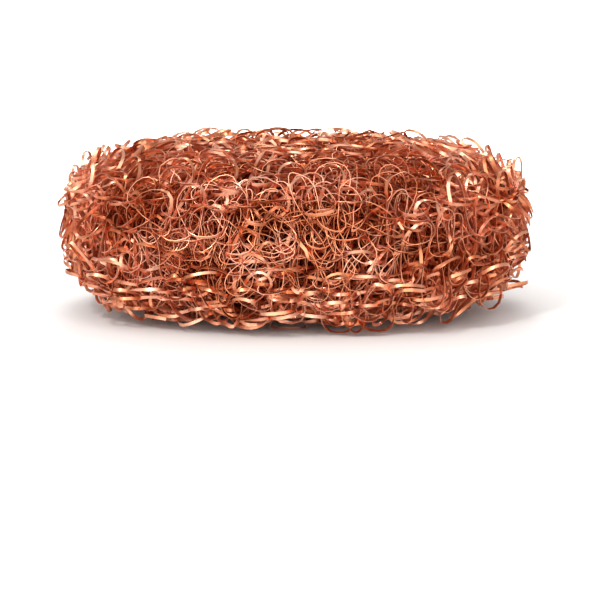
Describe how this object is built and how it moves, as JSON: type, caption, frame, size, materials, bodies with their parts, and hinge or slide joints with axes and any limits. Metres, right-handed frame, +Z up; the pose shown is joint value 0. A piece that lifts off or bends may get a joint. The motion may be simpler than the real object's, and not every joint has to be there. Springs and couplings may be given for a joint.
{
  "type": "copper scourer",
  "caption": "Oval scouring pad made of a sleeve knitted from flat copper ribbon and rolled over itself, with a tuck in the middle of each side.",
  "frame": {"origin": "under the middle of the pad, on the surface that it rests on", "axes": "+X along the pad's long way, +Y across it, +Z up through the tucks in its two sides"},
  "size_m": [0.0954, 0.078, 0.0359],
  "materials": {
    "copper_ribbon": "bare bright copper ribbon, smooth flat sides, a little duller in the folds"
  },
  "bodies": {
    "root": {"scourer": "copper_ribbon"}
  },
  "joints": []
}
